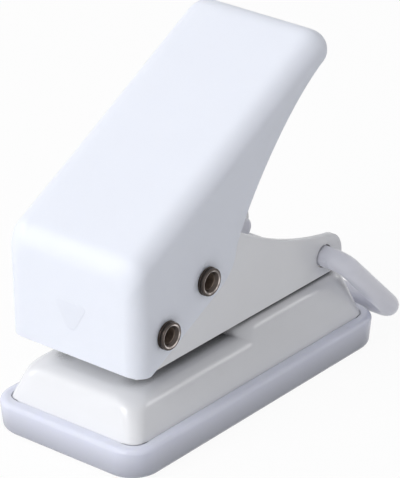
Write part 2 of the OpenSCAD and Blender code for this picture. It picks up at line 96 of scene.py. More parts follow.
def colour(name, description, code):
    """A colour property whose default is given as sRGB hex."""
    return FloatVectorProperty(name=name, description=description, default=linear(code), size=4,
                               subtype="COLOR", min=0.0, max=1.0)


def middle(node):
    """Centre of a CAD node's box, on the part's middle plane."""
    low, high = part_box(node)
    heart = (low + high) / 2
    heart.x = 0
    return heart


PIVOT = middle("pivot_pin")
DRIVE = middle("drive_pin")
PUNCH = middle("punch")


# Sizes and colours a user would change

class HandleSizes(PropertyGroup):
    width: length("Width", "Overall width", 29.4)
    wall: length("Wall", "Thickness of the shell", 2.0)
    top: length("Top height", "Height of the top above the pivot", 18.45)
    slope: turn("Slope", "Slope of the top", 28.4)
    front: length("Front", "From the pivot to the front face", 7.6)
    reach: length("Reach", "From the pivot to the rear end", 45.9)
    drop: length("Front drop", "From the pivot down to the front edge", 6.1)
    corner_drop: length("Corner drop", "Extra depth of the lower front corners", 0.35)
    lean: number("Lean", "Lean of the front face per unit of height", 0.03)
    lean_end: length("Lean end", "From the pivot to where the lean ends", 9.0)
    lean_run: length("Lean run", "Length over which the lean fades out", 15.5)
    edge_r: length("Edge radius", "Radius along the top edges", 4.0)
    front_r: length("Front corners", "Plan radius of the front corners", 3.2)
    rear_r: length("Rear corners", "Plan radius of the rear corners", 3.4)
    brow_r: length("Brow radius", "Radius between front face and top", 5.0)
    tip_r: length("Tip radius", "Side radius of the rear end", 3.5)
    tip_edge: length("Tip edge", "Height of the rear end's upright edge", 0.2)
    lobe_back: length("Lobe reach", "Reach of the side lobes behind the drive pin", 7.95)
    lobe_rise: length("Lobe rise", "From the drive pin up to the lobes' turn", 2.2)
    edge_slope: turn("Edge slope", "Slope of the edge in front of the lobes", 26.5)
    rim_r: length("Rim radius", "Rounding of the lower rim", 0.3)
    play: length("Pivot play", "Gap between the pivot pin and its bores", 0.05)
    boss_d: length("Boss diameter", "Diameter of the bosses round the pins", 7.6)
    boss_in: length("Boss face", "From the middle to the bosses' faces", 11.35)
    mark_w: length("Mark width", "Width of the hole-position mark", 7.6)
    mark_h: length("Mark height", "Height of the mark", 6.4)
    mark_z: length("Mark tip", "Height of the mark's tip", 22.25)
    mark_t: length("Mark relief", "How far the mark stands proud", 0.02)


class BaseSizes(PropertyGroup):
    length: length("Length", "Length at the rim", 65.2)
    width: length("Width", "Width at the rim", 29.4)
    sheet: length("Sheet", "Sheet thickness", 1.1)
    corner_r: length("Corner radius", "Plan radius of the rim's corners", 2.4)
    corner_grow: number("Corner growth", "Growth of the corner radius per unit of inset", 0.5)
    skirt_low: length("Skirt foot", "Height of the skirt's lower edge", 3.7)
    slope_low: length("Slope foot", "Height where the sides begin to lean in", 5.8)
    table: length("Table", "Height of the paper table", 13.0)
    deck: length("Deck", "Height of the rear deck", 15.2)
    table_lean: length("Table lean", "Lean of the sides up to the table", 2.4)
    table_r: length("Table shoulder", "Shoulder radius round the table", 3.8)
    deck_lean: length("Deck lean", "Lean of the sides up to the deck", 3.1)
    deck_rear: length("Deck rear lean", "Lean of the rear end up to the deck", 2.2)
    deck_r: length("Deck shoulder", "Shoulder radius round the deck", 3.2)
    deck_front_r: length("Deck corners", "Plan radius of the deck's front corners", 4.2)
    step: length("Step", "Place of the step between table and deck", -0.6)
    step_share: number("Step share", "Lean of the step as a share of the deck's", 0.4)
    valley: length("Valley", "Size of the soft valley at the step's foot", 0.35)
    die_d: length("Die hole", "Diameter of the hole for the die ring", 9.4)


class TraySizes(PropertyGroup):
    length: length("Length", "Overall length", 70.0)
    width: length("Width", "Overall width", 34.0)
    corner_r: length("Corner radius", "Plan radius of the outer corners", 5.2)
    rim: length("Rim height", "Height of the rim", 6.0)
    rim_r: length("Rim radius", "Radius on the rim's outer edge", 1.2)
    foot_r: length("Foot radius", "Radius round the foot", 1.2)
    draft: length("Draft", "Draft of the outer wall", 0.4)
    seat_gap: length("Seat gap", "Gap between the base's skirt and the rim", 0.02)
    ledge: length("Ledge height", "Height of the base's seat", 3.7)
    ledge_w: length("Ledge width", "Width of the ledge", 1.4)
    floor: length("Floor", "Thickness of the floor", 1.2)


class PinSizes(PropertyGroup):
    diameter: length("Diameter", "Outer diameter of the tubes", 4.0)
    bore: length("Bore", "Bore of the tubes", 2.8)
    rim_d: length("Rim diameter", "Diameter of the rolled ends", 5.0)
    rim_t: length("Rim thickness", "Thickness of the rolled ends", 0.7)
    mouth_d: length("Mouth", "Diameter of the flared mouth", 3.7)
    collar_d: length("Collar diameter", "Diameter of the collars", 5.1)
    collar_t: length("Collar thickness", "Thickness of the collars", 0.4)
    collar_gap: length("Collar gap", "Gap between collar and handle", 0.05)


class LoopSizes(PropertyGroup):
    diameter: length("Diameter", "Diameter of the rod", 3.9)
    reach: length("Reach", "From the tail holes to the cross bar", 21.8)
    half: length("Half width", "From the middle to the legs", 15.5)
    inside: length("Inner end", "From the middle to the rod's ends", 6.7)
    ear_r: length("Ear radius", "Bend radius at the tail holes", 2.8)
    bow_r: length("Bow radius", "Bend radius at the cross bar", 2.4)
    droop: turn("Droop", "Droop below the level", 44.4)
    tail_y: length("Tail place", "Place of the tail holes", 24.3)
    tail_z: length("Tail height", "Height of the tail holes", 19.4)


class SpringSizes(PropertyGroup):
    wire: length("Wire", "Wire diameter", 0.7)
    radius: length("Coil radius", "Mean radius of the coils", 3.7)
    low: length("Foot", "Height of the foot", 17.0)
    high: length("Head", "Height of the head", 26.48)
    coils: IntProperty(name="Coils", description="Number of coils", default=5, min=3, max=8)


class PunchFinishes(PropertyGroup):
    handle: colour("Handle", "Moulded handle", "#ECF0FA")
    enamel: colour("Enamel", "Stove enamel of base and frame", "#EEEFF2")
    tray: colour("Tray", "Milky tray plastic", "#E5E8F6")
    loop: colour("Loop", "Moulded loop", "#EDEEF7")
    nickel: colour("Nickel", "Plating of the pins", "#CFC5C1")
    steel: colour("Steel", "Collars and tool steel", "#524B47")


# Finishes

# The range that nearly all values of a noise fall in
SPREAD = (0.3, 0.7)
WHITE = linear("#FFFFFF")


def node(tree, kind, wires=(), **settings):
    """Adds a node. Its inputs come by name or in order: nodes and sockets are linked, other values set."""
    made = tree.nodes.new("ShaderNode" + kind)
    for key, value in settings.items():
        setattr(made, key, value)
    for key, value in wires.items() if isinstance(wires, dict) else enumerate(wires):
        if isinstance(value, Node):
            value = next(socket for socket in value.outputs if socket.enabled)
        if isinstance(value, NodeSocket):
            tree.links.new(value, made.inputs[key])
        else:
            made.inputs[key].default_value = value
    return made


def blank(owner):
    """The emptied node tree of a material or a world."""
    owner.use_nodes = True
    owner.node_tree.nodes.clear()
    return owner.node_tree


def finish(name, paint):
    """The named material, painted once by the function given."""
    made = bpy.data.materials.get(name)
    if not made:
        made = bpy.data.materials.new(name)
        tree = blank(made)
        place = node(tree, "TexCoord").outputs["Object"]
        shader = paint(tree, place, bpy.context.scene.punch_finishes)
        node(tree, "OutputMaterial", {"Surface": shader})
    return made


def shade(value, factor):
    """A colour made lighter or darker."""
    return tuple(min(1.0, c * factor) for c in value[:3]) + (1.0,)


def mottle(tree, place, size, detail, dark, light):
    """Clouds of two shades, this many millimetres across: their pattern and their colour."""
    cloud = node(tree, "TexNoise", {"Vector": place, "Scale": per(size), "Detail": detail})
    return cloud, node(tree, "Mix", {0: cloud, 6: dark, 7: light}, data_type="RGBA")


# Injection-moulded ABS from a polished tool: satin-smooth, cool white, faint cloudy sinks
# across the thick places and a grain too fine to see, drawn at 0.4 mm so that it just breaks the gloss.
def moulded_abs(tree, place, look):
    cloud, tint = mottle(tree, place, 16, 2.0, shade(look.handle, 0.975), shade(look.handle, 1.01))
    grain = node(tree, "TexNoise", {"Vector": place, "Scale": per(0.4)})
    gloss = node(tree, "MapRange", [grain, *SPREAD, 0.48, 0.56])
    sink = node(tree, "Bump", {"Height": cloud, "Strength": 0.15, "Distance": mm(0.2)})
    skin = node(tree, "Bump", {"Height": grain, "Strength": 0.05, "Distance": mm(0.02), "Normal": sink})
    return node(tree, "BsdfPrincipled", {
        "Base Color": tint, "Roughness": gloss, "IOR": 1.53, "Normal": skin,
        "Subsurface Weight": 0.12, "Subsurface Radius": (1.0, 0.95, 0.9), "Subsurface Scale": mm(0.8)})


# The same ABS where the tool was etched for the mark: less light soaks into it than into the polished face.
def etched_abs(tree, place, look):
    shader = moulded_abs(tree, place, look)
    shader.inputs["Subsurface Weight"].default_value = 0.06
    return shader


# Stove enamel sprayed on pressed steel: glossy, with a soft orange peel about 1.3 mm across.
# Painted shade: ambient occlusion darkens the colour to near black in the narrow slots under the frame and
# deep under it along the table's sides, but not on the skirt, nor on the middle and the front of the table.
def stove_enamel(tree, place, look):
    drift, tint = mottle(tree, place, 11, 2.0, shade(look.enamel, 0.965), shade(look.enamel, 1.01))
    gloss = node(tree, "MapRange", [drift, *SPREAD, 0.2, 0.26])
    peel = node(tree, "TexNoise", {"Vector": place, "Scale": per(1.3), "Detail": 1.0})
    skin = node(tree, "Bump", {"Height": peel, "Strength": 0.05, "Distance": mm(0.05)})
    at = node(tree, "SeparateXYZ", {"Vector": place}).outputs
    aside = node(tree, "Math", [at["X"]], operation="ABSOLUTE")
    upper = node(tree, "MapRange", [at["Z"], mm(9), mm(12)])
    behind = node(tree, "MapRange", [at["Y"], mm(-22), mm(-14)])
    beside = node(tree, "MapRange", [aside, mm(5), mm(8)])
    table = node(tree, "MapRange", [at["Z"], mm(13.3), mm(13.8), 1.0, 0.0])
    # Painted shade: occlusion within 3 mm darkens the slots under the frame, occlusion within 6 mm the
    # table's sides deep under it
    near = node(tree, "AmbientOcclusion", {"Distance": mm(3)}, samples=8)
    deep = node(tree, "AmbientOcclusion", {"Distance": mm(6)}, samples=8)
    slot_shade = node(tree, "MapRange", [near.outputs["AO"], 0.2, 0.75, 0.9, 0.0])
    packed = node(tree, "MapRange", [deep.outputs["AO"], 0.14, 0.34, 0.95, 0.0])
    for zone in (upper, behind):
        slot_shade = node(tree, "Math", [slot_shade, zone], operation="MULTIPLY")
    for zone in (upper, beside, table):
        packed = node(tree, "Math", [packed, zone], operation="MULTIPLY")
    painted_shade = node(tree, "Math", [slot_shade, packed], operation="MAXIMUM")
    # Painted shade: the enamel's colour is mixed towards near-black #26262A where the masks above say
    shaded_tint = node(tree, "Mix", {0: painted_shade, 6: tint, 7: linear("#26262A")}, data_type="RGBA")
    return node(tree, "BsdfPrincipled", {
        "Base Color": shaded_tint, "Roughness": gloss, "IOR": 1.52, "Normal": skin,
        "Coat Weight": 0.1, "Coat Roughness": 0.1})


# Moulded polypropylene, milky and tinted lavender: satin-smooth and a little glossy, with faint flow clouds
# about
# 14 mm long. Painted shade: the colour darkens to half towards the foot, where the wall meets the floor.
def milky_polypropylene(tree, place, look):
    at = node(tree, "SeparateXYZ", {"Vector": place}).outputs
    # Painted shade: darker towards the foot, from 6.2 mm down to 0.5 mm above it
    depth = node(tree, "MapRange", [at["Z"], mm(0.5), mm(6.2)])
    wall = node(tree, "Mix", {0: depth, 6: shade(look.tray, 0.5), 7: look.tray}, data_type="RGBA")
    flow = node(tree, "Mapping", {"Vector": place, "Scale": (1.0, 0.35, 1.0)})
    cloud = node(tree, "TexNoise", {"Vector": flow, "Scale": per(5), "Detail": 1.0})
    veil = node(tree, "MapRange", [cloud, *SPREAD, 0.0, 0.12])
    tint = node(tree, "Mix", {0: veil, 6: wall, 7: shade(look.tray, 0.75)}, data_type="RGBA")
    gloss = node(tree, "MapRange", [cloud, *SPREAD, 0.2, 0.26])
    return node(tree, "BsdfPrincipled", {
        "Base Color": tint, "Roughness": gloss, "IOR": 1.49,
        "Subsurface Weight": 0.4, "Subsurface Radius": (1.0, 1.0, 1.15), "Subsurface Scale": mm(1.0)})


# Moulded polypropylene rod: satin white, slightly waxy, with a faint grain about 0.45 mm across.
def waxy_polypropylene(tree, place, look):
    cloud, tint = mottle(tree, place, 5, 3.0, shade(look.loop, 0.95), shade(look.loop, 1.01))
    gloss = node(tree, "MapRange", [cloud, *SPREAD, 0.26, 0.36])
    grain = node(tree, "TexNoise", {"Vector": place, "Scale": per(0.45)})
    skin = node(tree, "Bump", {"Height": grain, "Strength": 0.06, "Distance": mm(0.03)})
    return node(tree, "BsdfPrincipled", {
        "Base Color": tint, "Roughness": gloss, "IOR": 1.49, "Normal": skin,
        "Subsurface Weight": 0.15, "Subsurface Radius": (1.0, 0.95, 0.9), "Subsurface Scale": mm(0.9)})


# Nickel plate over a rolled steel tube: bright, dark and brownish in patches where the plate is thin, with
# turning marks about 0.25 mm apart round the axis. The pins give it only to a band on the roll's crest.
def nickel_plate(tree, place, look):
    stain = node(tree, "TexNoise", {"Vector": place, "Scale": per(1.6)})
    thin = node(tree, "MapRange", [stain, 0.38, 0.6])
    tint = node(tree, "Mix", {0: thin, 6: shade(look.nickel, 0.3), 7: look.nickel}, data_type="RGBA")
    gloss = node(tree, "MapRange", [stain, *SPREAD, 0.17, 0.09])
    along = node(tree, "Mapping", {"Vector": place, "Scale": (1.0, 0.05, 0.05)})
    lines = node(tree, "TexNoise", {"Vector": along, "Scale": per(0.25)})
    skin = node(tree, "Bump", {"Height": lines, "Strength": 0.05, "Distance": mm(0.03)})
    return node(tree, "BsdfPrincipled", {
        "Base Color": tint, "Metallic": 1.0, "Roughness": gloss, "Normal": skin})


# Unplated inside of a drawn tube: brown-grey, oiled, dull.
def oiled_bore(tree, place, look):
    stain, tint = mottle(tree, place, 0.9, 3.0, linear("#857469"), linear("#B9ABA0"))
    gloss = node(tree, "MapRange", [stain, 0.0, 1.0, 0.35, 0.55])
    return node(tree, "BsdfPrincipled", {"Base Color": tint, "Metallic": 0.8, "Roughness": gloss})


# Turned or ground steel, oiled: grey with fine tool lines about 0.2 mm apart, drawn coarse enough to show.
def turned_steel(tree, place, look):
    _, tint = mottle(tree, place, 1.6, 3.0, shade(look.steel, 0.7), shade(look.steel, 1.1))
    along = node(tree, "Mapping", {"Vector": place, "Scale": (1.0, 0.08, 1.0)})
    lines = node(tree, "TexNoise", {"Vector": along, "Scale": per(0.2)})
    gloss = node(tree, "MapRange", [lines, *SPREAD, 0.28, 0.42])
    skin = node(tree, "Bump", {"Height": lines, "Strength": 0.2, "Distance": mm(0.03)})
    return node(tree, "BsdfPrincipled", {
        "Base Color": tint, "Metallic": 1.0, "Roughness": gloss, "Normal": skin})


# Zinc-plated steel, as drawn wire and as rivets: pale, bluish, with stains about 0.8 mm across.
def zinc_plate(tree, place, look):
    stain, tint = mottle(tree, place, 0.8, 3.0, linear("#9A9DA3"), linear("#C9CCD2"))
    gloss = node(tree, "MapRange", [stain, 0.0, 1.0, 0.22, 0.4])
    return node(tree, "BsdfPrincipled", {"Base Color": tint, "Metallic": 1.0, "Roughness": gloss})


# Meshes, whose forms are a list of points and a list of faces

# Points closer than this are one point, and edges shorter than a tenth of it are dropped
WELD = mm(0.001)
# Facets that meet at less than the first angle are one face, and edges past the second are sharp
FLAT_ANGLE, SHARP_ANGLE = radians(0.6), radians(35)
# The share of a side that one rounded corner may take up
NEARLY_HALF = 0.49


def put(name, data):
    """A new object in the scene."""
    made = bpy.data.objects.new(name, data)
    bpy.context.scene.collection.objects.link(made)
    return made


def drop(obj):
    """Removes an object and its mesh."""
    mesh = obj.data
    bpy.data.objects.remove(obj)
    bpy.data.meshes.remove(mesh)


def solid(obj):
    """The mesh that an object's modifiers make. The object itself is removed."""
    made = bpy.data.meshes.new_from_object(obj.evaluated_get(bpy.context.evaluated_depsgraph_get()))
    drop(obj)
    return made


def mesh_of(form, finishes=(), marks=None):
    """A smooth mesh, doubled points joined and faces turned outward. Marks say which finish a face has."""
    points, faces = form
    mesh = bpy.data.meshes.new("form")
    mesh.from_pydata([tuple(p) for p in points], [], faces)
    for f in finishes:
        mesh.materials.append(f)
    if marks:
        mesh.polygons.foreach_set("material_index", marks)
    work = bmesh.new()
    work.from_mesh(mesh)
    bmesh.ops.remove_doubles(work, verts=work.verts, dist=WELD)
    bmesh.ops.dissolve_degenerate(work, edges=work.edges, dist=WELD / 10)
    bmesh.ops.recalc_face_normals(work, faces=work.faces)
    for f in work.faces:
        f.smooth = True
    work.to_mesh(mesh)
    work.free()
    return mesh


def piece(name, mesh, body, nodes, weighted=True):
    """A piece made of a mesh, riding on a body in place of CAD nodes."""
    made = put(name, mesh)
    mesh.name = name
    if weighted:
        made.modifiers.new("even shading", "WEIGHTED_NORMAL").keep_sharp = True
    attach(made, body)
    if nodes:
        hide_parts(*nodes)
    return made


def dress(name, made, edge_r):
    """Joins a CAD node's facets and rounds its sharp edges, by modifiers only, and gives it a finish."""
    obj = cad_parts[name]
    obj.modifiers.new("join", "WELD").merge_threshold = 2 * WELD
    flat = obj.modifiers.new("flats", "DECIMATE")
    flat.decimate_type, flat.angle_limit = "DISSOLVE", FLAT_ANGLE
    edge = obj.modifiers.new("edges", "BEVEL")
    edge.width, edge.segments = edge_r, 3
    edge.limit_method, edge.angle_limit = "ANGLE", SHARP_ANGLE
    obj.modifiers.new("even shading", "WEIGHTED_NORMAL").keep_sharp = True
    if not obj.material_slots:
        obj.data.materials.append(made)
    for slot in obj.material_slots:
        slot.material = made


def cut_with(mesh, cutters):
    """The mesh with closed cutters taken out of it."""
    body, tools = put("cut body", mesh), []
    for form in cutters:
        tools.append(put("cutter", mesh_of(form)))
        step = body.modifiers.new("cut", "BOOLEAN")
        step.operation, step.solver, step.object = "DIFFERENCE", "EXACT", tools[-1]
    made = solid(body)
    for tool in tools:
        drop(tool)
    if not made.polygons:
        raise RuntimeError("a cut left nothing")
    return made


def loft(rings, shut_ends=True, round_about=True):
    """Form of a skin through rings of equal count."""
    n, points, faces = len(rings[0]), [p for r in rings for p in r], []
    for k in range(len(rings) - 1):
        for i in range(n if round_about else n - 1):
            j = (i + 1) % n
            faces.append((k * n + i, k * n + j, (k + 1) * n + j, (k + 1) * n + i))
    if shut_ends:
        faces.append(tuple(range(n)))
        faces.append(tuple(range(len(points) - n, len(points))))
    return points, faces


def lathe(profile, centre, axis, sides=96, closed=True):
    """Form of an outline (radius, place along the axis) turned about an axis."""
    rings = []
    for i in range(sides):
        a = 2 * pi * i / sides
        c, s = cos(a), sin(a)
        if axis == "X":
            rings.append([centre + Vector((t, r * c, r * s)) for r, t in profile])
        else:
            rings.append([centre + Vector((r * c, r * s, t)) for r, t in profile])
    return loft(rings + [rings[0]], False, closed)


def drill(r, low, high, centre, axis, sides):
    """Form of a round bar that cuts a hole."""
    return lathe([(0, low), (r, low), (r, high), (0, high)], centre, axis, sides, False)


def pairs(outline, centres, sides=96):
    """Form of outlines turned about X, left and right of each centre, whose sizes stand beside it."""
    points, faces = [], []
    for centre, *sizes in centres:
        for sign in (-1, 1):
            p, f = lathe([(r, sign * t) for r, t in outline(*sizes)], centre, "X", sides)
            faces += [tuple(i + len(points) for i in q) for q in f]
            points += p
    return points, faces


def quarter(steps):
    """Angles of a quarter turn in even steps."""
    return [pi / 2 * i / steps for i in range(steps + 1)]


def corner(x, y, r, side, angles):
    """Plan points of a round corner on one of four sides, counted from the right rear one."""
    return [(x + r * cos(pi / 2 * side + a), y + r * sin(pi / 2 * side + a)) for a in angles]


def arch(r, out):
    """Height of a round arch at a distance from its middle."""
    return sqrt(max(0.0, r * r - out * out))


def rounded(corners, steps=5, closed=True):
    """Outline through corners (u, v, radius), each corner turned to an arc."""
    out, n = [], len(corners)
    for i, (u, v, r) in enumerate(corners):
        here = Vector((u, v))
        if r <= 0 or (not closed and i in (0, n - 1)):
            out.append((u, v))
            continue
        back, ahead = Vector(corners[i - 1][:2]) - here, Vector(corners[(i + 1) % n][:2]) - here
        half = back.angle(ahead) / 2
        reach = min(r / tan(half), NEARLY_HALF * back.length, NEARLY_HALF * ahead.length)
        r = reach * tan(half)
        a, b = back.normalized(), ahead.normalized()
        heart = here + (a + b).normalized() * (r / sin(half))
        start, end = here + a * reach - heart, here + b * reach - heart
        sweep = pi - 2 * half
        for k in range(steps + 1):
            t = k / steps
            w0, w1 = sin((1 - t) * sweep) / sin(sweep), sin(t * sweep) / sin(sweep)
            out.append(tuple(heart + start * w0 + end * w1))
    return out


def shoulder(low, high, lean, r):
    """Height by inset of a leaning side that turns over into a flat top, and the inset where it is flat."""
    a = atan2(lean, high - low)
    end = lean - r * tan((pi / 2 - a) / 2) * sin(a) + r * cos(a)
    begin = end - r * cos(a)

    def height(inset):
        """Height of the lean, of the round or of the flat."""
        if inset <= begin:
            return low + inset * (high - low) / lean
        if inset >= end:
            return high
        return high - r + arch(r, end - inset)

    return height, end


def smoothest(a, b, k):
    """The higher of two heights, with a soft valley of size k where they cross."""
    h = max(k - abs(a - b), 0.0) / k if k > 0 else 0.0
    return max(a, b) + h * h * k / 4


def bezier(points, t):
    """Point of a Bezier curve."""
    while len(points) > 1:
        points = [p * (1 - t) + q * t for p, q in zip(points, points[1:])]
    return points[0]


def last_true(test, low, high, halvings):
    """The place up to which a test holds, found by halving."""
    for _ in range(halvings):
        mid = (low + high) / 2
        low, high = (mid, high) if test(mid) else (low, mid)
    return low


def tube(heart, r, sides, ease):
    """Rings of a round rod along a line of points, with eased ends."""
    rings, across = [], None
    round_about = [2 * pi * i / sides for i in range(sides)]
    for k, here in enumerate(heart):
        along = (heart[min(k + 1, len(heart) - 1)] - heart[max(k - 1, 0)]).normalized()
        across = across or along.orthogonal()
        across = (across - along * across.dot(along)).normalized()
        other = along.cross(across)
        rings.append([here + r * (across * cos(a) + other * sin(a)) for a in round_about])
    for end, inner in ((0, 1), (-1, -2)):
        tip, inward = heart[end], (heart[inner] - heart[end]).normalized()
        eased = []
        for q in quarter(3)[1:]:
            out, size = ease * sin(q), 1 - ease / r * (1 - cos(q))
            eased.append([tip - inward * out + (p - tip) * size for p in rings[end]])
        rings = rings + eased if end else eased[::-1] + rings
    return rings


# Pieces

class PUNCH_OT_tray(Operator):
    """Milky chip tray with its rounded rim, ledge and pocket"""
    bl_idname = "punch.tray"
    bl_label = "Chip tray"

    def execute(self, context):
        s, b = context.scene.punch_tray, context.scene.punch_base
        # How far the flats of the floor and the rim run, then the small rounds of seat, ledge and floor
        flat, rim_top, seat_edge = mm(4), mm(1.9), mm(0.08)
        near, far, cove_in, cove = mm(0.06), mm(0.2), mm(0.15), mm(0.5)
        wall = rounded([(s.draft + flat, 0, 0), (s.draft, 0, s.foot_r),
                        (0, s.rim, s.rim_r), (rim_top, s.rim, 0)], 8, False)
        seat = [(seat_edge * (sin(a) - 1), s.rim - seat_edge * (1 - cos(a)))
                for a in (0, 0.4, 0.8, 1.2, pi / 2)]
        seat += [(0, s.ledge + far), (near, s.ledge + near), (far, s.ledge)]
        pocket = [(-near, s.ledge - near), (0, s.ledge - far), (0, s.floor + cove),
                  (cove_in, s.floor + cove_in), (cove, s.floor), (flat, s.floor)]
        hole_r = b.corner_r - s.ledge_w
        rings = self.rings(s, 0, s.corner_r, wall)
        rings += self.rings(b, s.seat_gap, b.corner_r + s.seat_gap, seat)
        rings += self.rings(b, far - s.ledge_w, hole_r + far, [(0, s.ledge)])
        rings += self.rings(b, -s.ledge_w, hole_r, pocket)
        plastic = finish("moulded milky polypropylene", milky_polypropylene)
        piece("chip_tray_moulding", mesh_of(loft(rings), [plastic]), "tray", ["chip_tray"])
        return {"FINISHED"}

    @staticmethod
    def rings(plan, grow, r, steps):
        """Rounded rectangles of a plan that is grown, one for each inset and height."""
        out = []
        for inset, z in steps:
            x, y, ring = plan.width / 2 + grow - inset - r, plan.length / 2 + grow - inset - r, []
            for side, (at, along) in enumerate(((x, y), (-x, y), (-x, -y), (x, -y))):
                ring += corner(at, along, r, side, quarter(12))
            out.append([Vector((*p, z)) for p in ring])
        return out


class PUNCH_OT_base(Operator):
    """Pressed and enamelled base: paper table in front, raised deck behind the step"""
    bl_idname = "punch.base"
    bl_label = "Base plate"

    def execute(self, context):
        s = context.scene.punch_base
        table, _ = shoulder(s.slope_low, s.table, s.table_lean, s.table_r)
        deck, deck_end = shoulder(s.slope_low, s.deck, s.deck_lean, s.deck_r)
        valley_growth, die_low, die_high = 0.6, s.table - mm(3), s.table + mm(1)

        def on_deck(x, y, inset):
            """True if the plan point is inside the deck's outline at an inset."""
            side = s.width / 2 - inset - abs(x)
            front = s.step - s.step_share * s.deck_lean + s.step_share * inset
            rear = s.length / 2 - inset * s.deck_rear / s.deck_lean
            if side < 0 or y < front or y > rear:
                return False
            r, edge = s.corner_r + s.corner_grow * inset, rear - y
            if y - front < s.deck_front_r:
                r, edge = s.deck_front_r, y - front
            return edge >= r or side >= r or (r - edge) ** 2 + (r - side) ** 2 <= r * r

        def height(x, y, inset):
            """Height of the pressed sheet over a plan point."""
            if not on_deck(x, y, 0.0):
                return table(inset)
            within = deck_end
            if not on_deck(x, y, deck_end):
                within = last_true(lambda p: on_deck(x, y, p), 0.0, deck_end, 18)
            return smoothest(table(inset), deck(within), min(s.valley, valley_growth * inset))

        # Rings of the skirt by height, then of the shoulders and the flats by inset in millimetres
        skirt = (s.skirt_low, s.skirt_low + mm(0.7), s.slope_low - mm(0.5), s.slope_low - mm(0.1))
        shoulders = [0.02] + [0.22 * i for i in range(1, 26)]
        flats = [6.2, 7, 8.2, 9.6, 11, 12.4, 13.6]
        insets = [mm(v) for v in shoulders + flats] + [s.width / 2]
        rings = [[Vector((x, y, z)) for x, y in self.outline(s, 0.0)] for z in skirt]
        rings += [[Vector((x, y, height(x, y, i))) for x, y in self.outline(s, i)] for i in insets]
        enamel = finish("stove-enamelled steel", stove_enamel)
        sheet = put("sheet", mesh_of(loft(rings, False), [enamel]))
        thick = sheet.modifiers.new("sheet", "SOLIDIFY")
        thick.thickness, thick.offset, thick.use_even_offset = s.sheet, -1.0, True
        hole = drill(s.die_d / 2, die_low, die_high, Vector((0, PUNCH.y, 0)), "Z", 64)
        piece("base_pressing", cut_with(solid(sheet), [hole]), "base", ["base_plate"])
        return {"FINISHED"}

    @staticmethod
    def outline(s, inset):
        """Plan outline of the base at an inset, with its points gathered round the step."""
        half_x, half_y = s.width / 2 - inset, s.length / 2 - inset
        r = min(s.corner_r + s.corner_grow * inset, half_x)
        out, aft = half_x - r, half_y - r
        ys, close, far = [], s.step - mm(4.5), s.step + mm(5.5)
        for begin, end, count in ((-aft, close, 8), (close, far, 50), (far, aft, 12)):
            ys += [begin + (end - begin) * i / count for i in range(count)]
        ys.append(aft)
        xs, bend = [out * (1 - 2 * i / 10) for i in range(11)], quarter(12)[1:-1]
        return ([(half_x, y) for y in ys] + corner(out, aft, r, 0, bend)
                + [(x, half_y) for x in xs] + corner(-out, aft, r, 1, bend)
                + [(-half_x, y) for y in reversed(ys)] + corner(-out, -aft, r, 2, bend)
                + [(x, -half_y) for x in reversed(xs)] + corner(out, -aft, r, 3, bend))


class PUNCH_OT_frame(Operator):
    """Enamelled channel frame, its cut edges softened"""
    bl_idname = "punch.frame"
    bl_label = "Channel frame"

    def execute(self, context):
        dress("punch_frame", finish("stove-enamelled steel", stove_enamel), edge_r=mm(0.22))
        return {"FINISHED"}


class PUNCH_OT_works(Operator):
    """Punch, guide bush, die ring and rivets in their metals"""
    bl_idname = "punch.works"
    bl_label = "Punch, guide, die and rivets"

    def execute(self, context):
        for name in ("punch", "punch_guide", "die_ring"):
            dress(name, finish("turned steel", turned_steel), edge_r=mm(0.12))
        dress("frame_rivets", finish("zinc-plated wire", zinc_plate), edge_r=mm(0.15))
        return {"FINISHED"}


class PUNCH_OT_spring(Operator):
    """Return spring with closed end coils, round the punch"""
    bl_idname = "punch.spring"
    bl_label = "Return spring"

    def execute(self, context):
        s = context.scene.punch_spring
        r, low, high, ease = s.wire / 2, s.low + s.wire / 2, s.high - s.wire / 2, mm(0.12)
        steps, even_rise, heart = 36 * s.coils, 0.35, []
        for k in range(steps + 1):
            t, a = k / steps, 2 * pi * s.coils * k / steps
            eased = even_rise * t + (1 - even_rise) * (t * t * (3 - 2 * t))
            across, along = s.radius * cos(a), PUNCH.y + s.radius * sin(a)
            heart.append(Vector((across, along, low + (high - low) * eased)))
        wire = mesh_of(loft(tube(heart, r, 14, ease)), [finish("zinc-plated wire", zinc_plate)])
        coil = piece("return_spring_coil", wire, "base", ["return_spring"], False)
        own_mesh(coil)
        return {"FINISHED"}


class PUNCH_OT_loop(Operator):
    """Carry loop: a bent round rod held in the tail holes"""
    bl_idname = "punch.loop"
    bl_label = "Carry loop"

    def execute(self, context):
        s = context.scene.punch_loop
        ease, lead, bend = mm(0.6), mm(1.5), quarter(14)
        ear, bow, leg = s.half - s.ear_r, s.half - s.bow_r, s.reach - s.ear_r - s.bow_r
        half = [(s.inside + ease, 0), (ear - lead, 0)]
        half += [(ear + s.ear_r * sin(a), s.ear_r - s.ear_r * cos(a)) for a in bend]
        half += [(s.half, s.ear_r + leg * i / 6) for i in range(1, 6)]
        half += [(bow + s.bow_r * cos(a), s.reach - s.bow_r + s.bow_r * sin(a)) for a in bend]
        half += [(bow - bow * i / 5, s.reach) for i in range(1, 5)]
        flat = half + [(0, s.reach)] + [(-x, out) for x, out in reversed(half)]
        c, d = cos(s.droop), sin(s.droop)
        heart = [Vector((x, s.tail_y + out * c, s.tail_z - out * d)) for x, out in flat]
        plastic = finish("moulded waxy polypropylene", waxy_polypropylene)
        rod = mesh_of(loft(tube(heart, s.diameter / 2, 40, ease)), [plastic])
        piece("carry_loop_rod", rod, "loop", ["carry_loop"])
        return {"FINISHED"}


